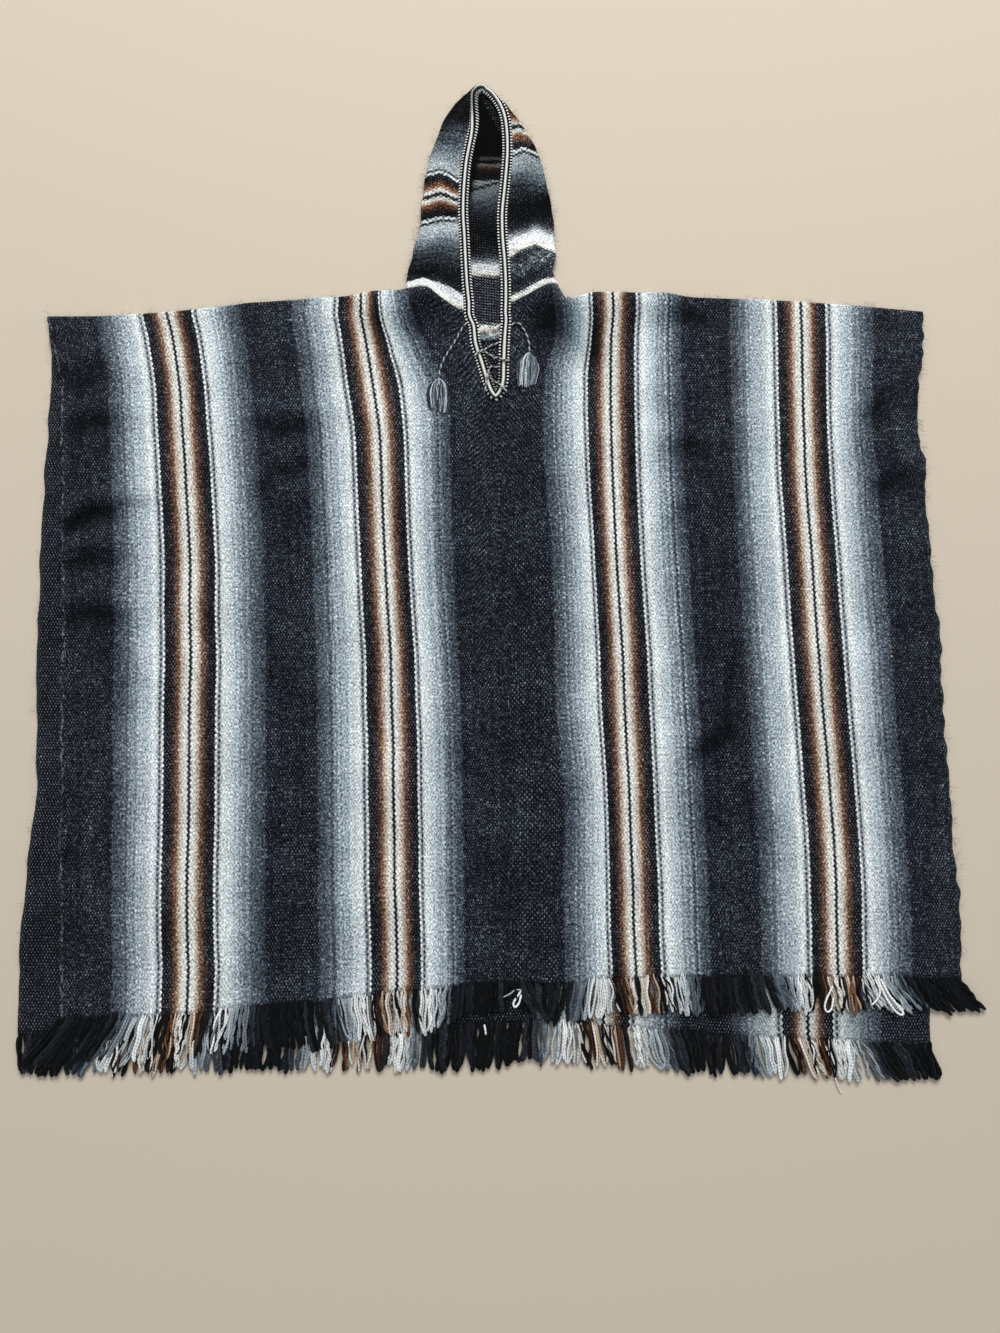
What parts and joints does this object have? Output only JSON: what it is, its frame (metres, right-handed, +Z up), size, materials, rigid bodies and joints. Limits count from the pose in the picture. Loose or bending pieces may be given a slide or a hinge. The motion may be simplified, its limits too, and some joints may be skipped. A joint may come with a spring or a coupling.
{
  "type": "andean poncho",
  "caption": "Hooded wool poncho laid flat, front up: a wide body folded at the shoulders, fringed hems, a hood with a braided face opening, and a laced neck slit with tassels.",
  "frame": {"origin": "middle of the outline's box, at the height of the underside that rests on the floor", "axes": "+Y from the hem to the hood's peak, +X to the right seen from above, +Z up out of the front"},
  "size_m": [1.2316, 1.3716, 0.0142],
  "materials": {
    "body_cloth": "brushed wool, charcoal with grey, brown and ivory warp stripes",
    "hood_cloth": "brushed wool, cross stripes of grey, brown and ivory",
    "fringe_yarn": "soft plied wool in the colours of the stripes",
    "braid_yarn": "ivory cord between black and white stitched edges",
    "lace_yarn": "grey and white plied wool"
  },
  "bodies": {
    "root": {"back_panel": "body_cloth", "front_panel": "body_cloth", "hood_back": "hood_cloth", "hood_left": "hood_cloth", "hood_right": "hood_cloth", "braid": "braid_yarn", "front_fringe": "fringe_yarn", "back_fringe": "fringe_yarn", "lace_left": "lace_yarn", "lace_right": "lace_yarn", "lace_cross_upper": "lace_yarn", "lace_cross_middle": "lace_yarn", "lace_cross_lower": "lace_yarn", "lace_cross_foot": "lace_yarn", "tassel_left": "lace_yarn", "tassel_right": "lace_yarn"}
  },
  "joints": []
}
